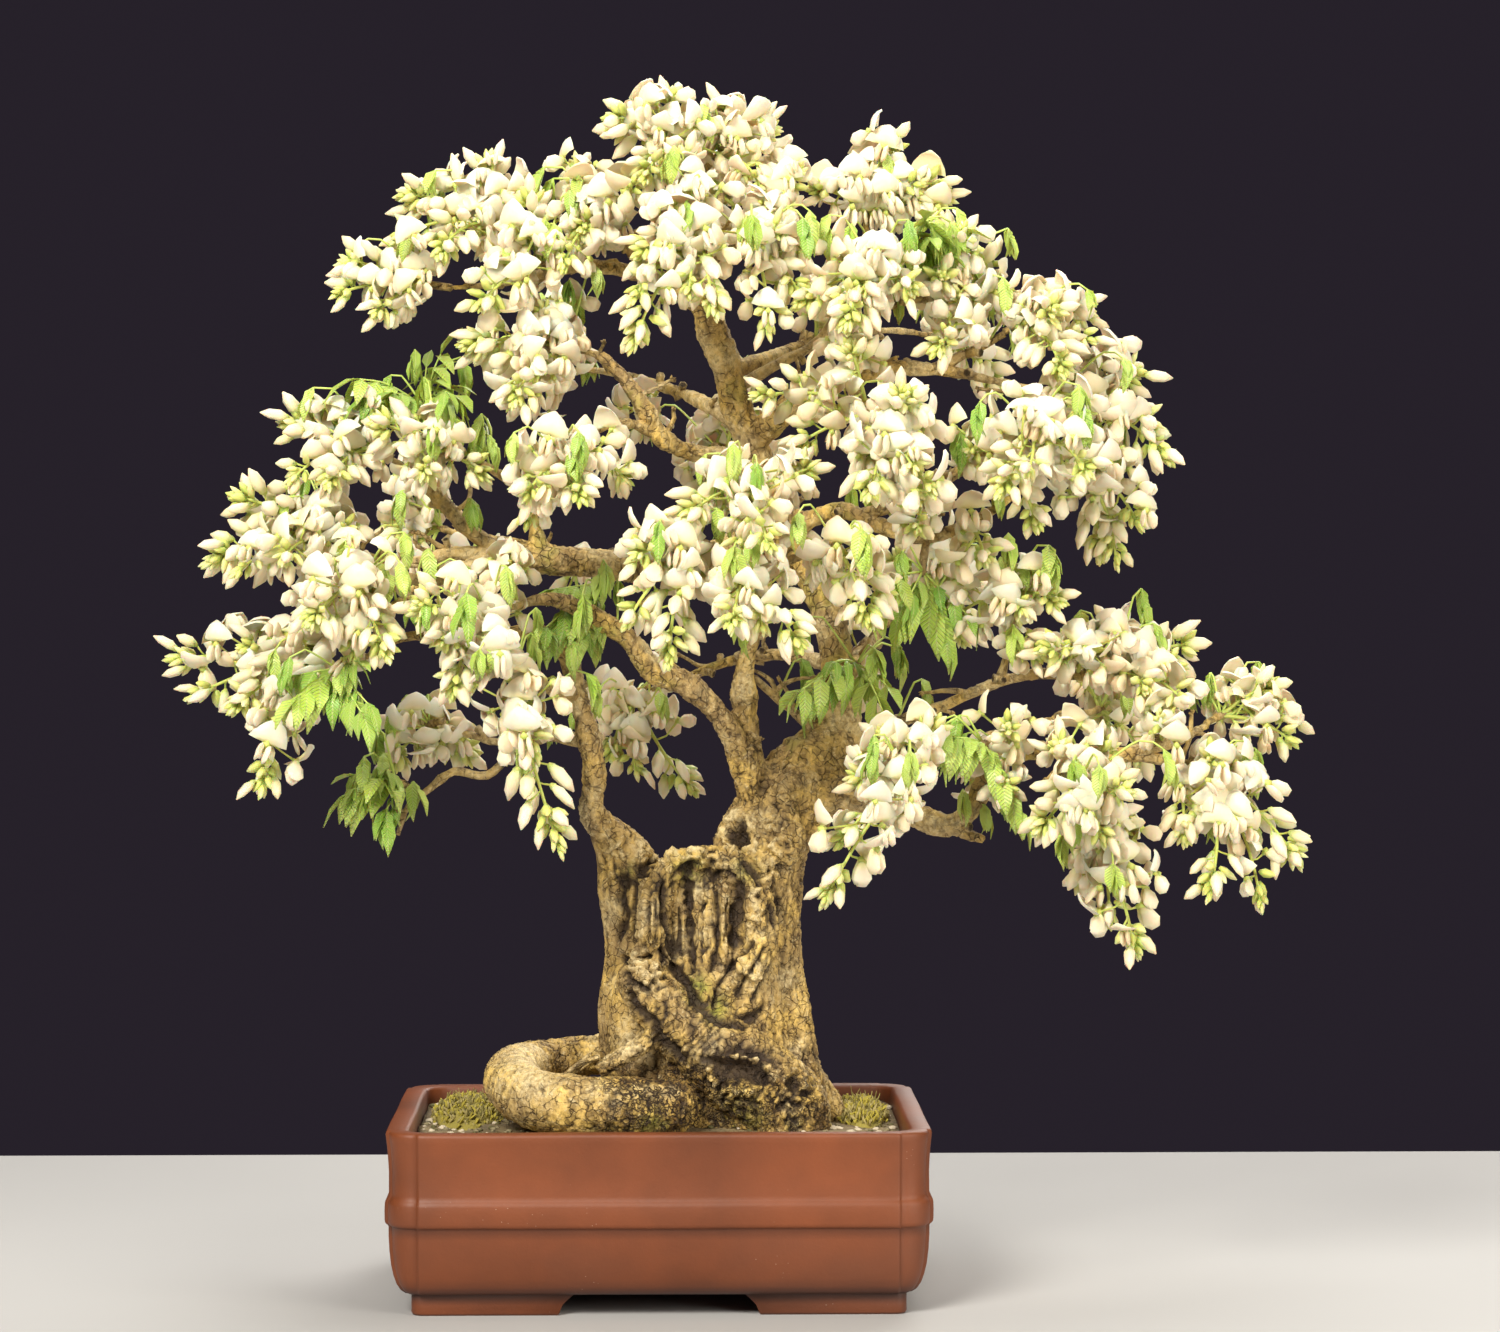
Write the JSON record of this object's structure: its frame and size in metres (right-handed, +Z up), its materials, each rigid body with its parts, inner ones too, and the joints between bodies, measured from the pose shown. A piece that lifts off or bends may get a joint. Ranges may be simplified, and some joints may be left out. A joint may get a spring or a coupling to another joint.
{
  "type": "bonsai tree",
  "caption": "Old flowering bonsai tree with a thick gnarled trunk, a looped surface root and hanging white flower heads, in an unglazed rectangular pot on low feet.",
  "frame": {"origin": "on the table, under the middle of the whole object", "axes": "+Z up the trunk, the object's tallest direction; +X to the viewer's right along the pot's long side; +Y away from the viewer"},
  "size_m": [0.7716, 0.4364, 0.8238],
  "materials": {
    "stoneware": "unglazed fired clay, matt to faintly satin",
    "screen": "matt",
    "soil": "granular, dry",
    "moss": "soft, dry",
    "bark": "rough grey-brown bark",
    "blossom": "soft, slightly translucent",
    "leaf": "soft satin"
  },
  "bodies": {
    "root": {"pot": "stoneware", "screen_left": "screen", "screen_right": "screen", "soil": "soil", "moss_left": "moss", "moss_right": "moss", "wood": "bark", "blossom_apex_left": "blossom", "blossom_apex_right": "blossom", "blossom_apex_front": "blossom", "blossom_apex_front_right": "blossom", "blossom_top_left_tip": "blossom", "blossom_top_left_outer": "blossom", "blossom_top_left_middle": "blossom", "blossom_top_left_inner": "blossom", "blossom_upper_left": "blossom", "blossom_upper_left_front": "blossom", "blossom_left_top": "blossom", "blossom_left_top_inner": "blossom", "blossom_left_outer": "blossom", "blossom_left_front": "blossom", "blossom_left_middle": "blossom", "blossom_left_low_outer": "blossom", "blossom_left_low_front": "blossom", "blossom_left_low_back": "blossom", "blossom_back_low": "blossom", "blossom_centre_high": "blossom", "blossom_centre_left": "blossom", "blossom_centre_front": "blossom", "blossom_centre_right": "blossom", "blossom_right_top": "blossom", "blossom_right_top_front": "blossom", "blossom_right_high_outer": "blossom", "blossom_right_shoulder": "blossom", "blossom_right_tip": "blossom", "blossom_right_front": "blossom", "blossom_right_under": "blossom", "blossom_front_right": "blossom", "blossom_right_middle_inner": "blossom", "blossom_right_upper_low": "blossom", "blossom_right_low_tip": "blossom", "blossom_right_low_front": "blossom", "blossom_right_low_outer": "blossom", "blossom_right_low_hanging": "blossom", "blossom_front_low": "blossom", "blossom_back_right": "blossom", "blossom_back_centre": "blossom", "blossom_back_upper_left": "blossom", "blossom_back_upper_right": "blossom", "blossom_back_left": "blossom", "blossom_back_right_low": "blossom", "blossom_back_apex": "blossom", "leaves_upper_left": "leaf", "leaves_left_hanging": "leaf", "leaves_trunk": "leaf", "leaves_right_middle": "leaf", "leaves_right_low": "leaf", "leaves_left_low": "leaf", "leaves_left_pair": "leaf", "leaves_top_right": "leaf"}
  },
  "joints": []
}
